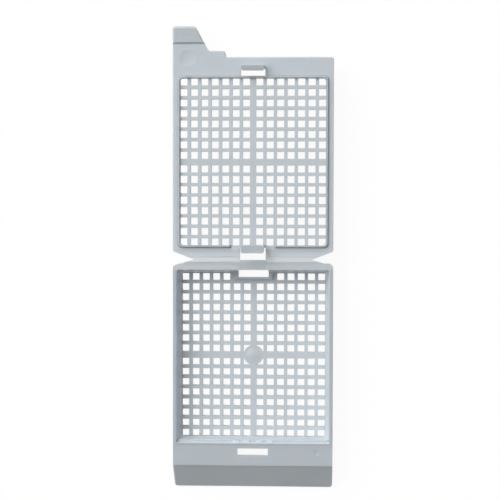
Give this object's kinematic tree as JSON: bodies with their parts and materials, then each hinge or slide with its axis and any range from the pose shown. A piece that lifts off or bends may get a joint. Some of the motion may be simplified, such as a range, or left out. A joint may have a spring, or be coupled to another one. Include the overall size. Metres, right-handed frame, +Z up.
{
  "type": "tissue cassette",
  "caption": "Moulded tissue cassette, open: perforated tray with a sloping writing face, thin bending hinge, and perforated lid with latch hooks and a thumb tab.",
  "frame": {"origin": "centre of the tray's perforated floor, on its underside", "axes": "+Z up, +Y from the tray to the open lid, +X across"},
  "size_m": [0.0286, 0.0826, 0.0081],
  "materials": {
    "acetal": "moulded acetal, fine satin",
    "acetal_web": "moulded acetal, thin web"
  },
  "bodies": {
    "base": {"base_tray": "acetal", "hinge_web_left": "acetal_web", "hinge_web_right": "acetal_web"},
    "lid": {"lid": "acetal"}
  },
  "joints": [
    {"name": "lid_hinge", "type": "hinge", "parent": "base", "child": "lid", "pos_m": [0, 0.01744, 0.00542], "axis": [1, 0, 0], "range_deg": [0, 180], "deforming": ["hinge_web_left", "hinge_web_right"]}
  ]
}
